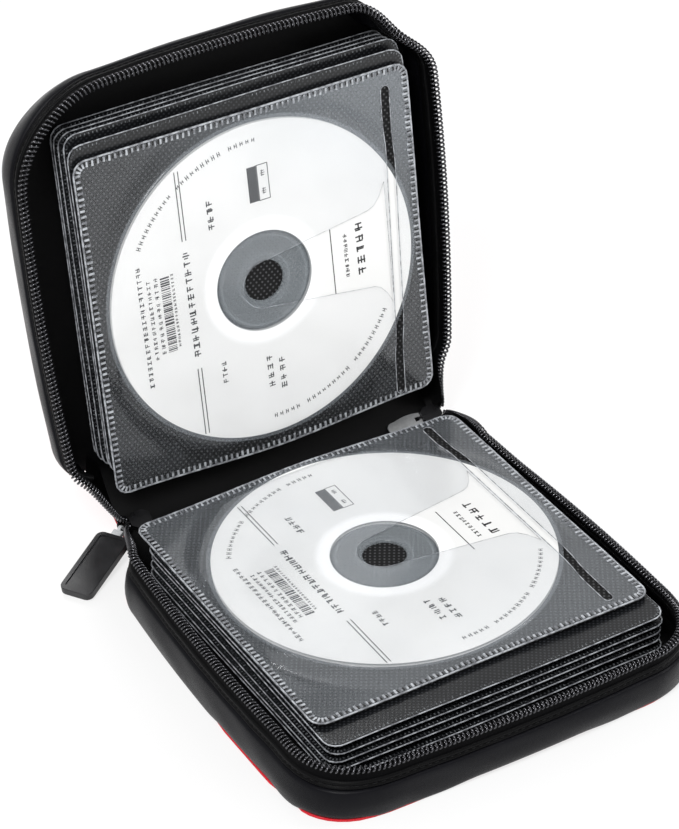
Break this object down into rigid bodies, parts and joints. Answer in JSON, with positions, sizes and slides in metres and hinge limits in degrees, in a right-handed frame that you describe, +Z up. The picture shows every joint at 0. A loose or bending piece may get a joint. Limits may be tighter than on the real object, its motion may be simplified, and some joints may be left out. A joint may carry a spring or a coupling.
{
  "type": "disc wallet",
  "caption": "Square zip wallet for discs, open at its spine, with pocket leaves and a disc in the top pocket of each half.",
  "frame": {"origin": "middle of the lower half's flat underside, on the surface that the case stands on", "axes": "+X along the spine to the right as seen from the opening side, +Y from the lower half's front edge to the spine, +Z up"},
  "size_m": [0.1683, 0.2079, 0.1757],
  "materials": {
    "cover_red": "smooth coated cloth",
    "wall_black": "smooth coated cloth, faint sheen",
    "lip_black": "woven binding",
    "tape_black": "fine woven zip tape",
    "teeth_black": "glossy nylon coil",
    "lining_black": "matt lining cloth",
    "felt_black": "dotted non-woven cloth",
    "film_grey": "film over dark cloth",
    "film_clear": "clear film",
    "disc_white": "satin printed disc",
    "metal_black": "black plated",
    "metal_grey": "satin metal",
    "clip_grey": "light grey moulding",
    "rubber_black": "soft moulded rubber"
  },
  "bodies": {
    "lower_half": {"lower_cover": "cover_red", "lower_lining": "lining_black", "lower_wall": "wall_black", "lower_lip": "lip_black", "lower_zip_tape": "tape_black", "lower_zip_teeth": "teeth_black", "lower_binding": "felt_black", "lower_leaf_1": "film_grey", "lower_leaf_2": "film_grey", "lower_leaf_3": "film_grey", "lower_leaf_4": "film_grey", "lower_leaf_5": "film_grey", "lower_top_leaf": "felt_black", "lower_disc": "disc_white", "lower_top_film": "film_clear"},
    "spine": {"spine_cover": "cover_red", "spine_lining": "lining_black", "left_slider": "metal_black", "right_slider": "metal_black"},
    "upper_half": {"upper_cover": "cover_red", "upper_lining": "lining_black", "upper_wall": "wall_black", "upper_lip": "lip_black", "upper_zip_tape": "tape_black", "upper_zip_teeth": "teeth_black", "upper_binding": "felt_black", "upper_leaf_1": "film_grey", "upper_leaf_2": "film_grey", "upper_leaf_3": "film_grey", "upper_leaf_4": "film_grey", "upper_leaf_5": "film_grey", "upper_top_leaf": "felt_black", "upper_disc": "disc_white", "upper_top_film": "film_clear"},
    "link": {"left_link": "metal_black"},
    "puller": {"left_clip": "clip_grey", "left_puller": "rubber_black"},
    "tab": {"right_tab": "metal_grey"}
  },
  "joints": [
    {"name": "lower_hinge", "type": "hinge", "parent": "lower_half", "child": "spine", "pos_m": [0, 0.074, 0.0012], "axis": [1, 0, 0], "range_deg": [-30.8, 59.2]},
    {"name": "upper_hinge", "type": "hinge", "parent": "spine", "child": "upper_half", "pos_m": [0, 0.11128, 0.02342], "axis": [1, 0, 0], "range_deg": [-52.4, 37.6]},
    {"name": "link_swing", "type": "hinge", "parent": "spine", "child": "link", "pos_m": [-0.05758, 0.09526, 0.00792], "axis": [0, 0.859, 0.512], "range_deg": [-6, 3]},
    {"name": "puller_swing", "type": "hinge", "parent": "link", "child": "puller", "pos_m": [-0.06103, 0.09432, 0.00736], "axis": [-0.5432, 0.8396, 0], "range_deg": [-20, 3]},
    {"name": "tab_swing", "type": "hinge", "parent": "spine", "child": "tab", "pos_m": [0.06143, 0.09526, 0.00792], "axis": [0, 0.859, 0.512], "range_deg": [0, 8]}
  ]
}
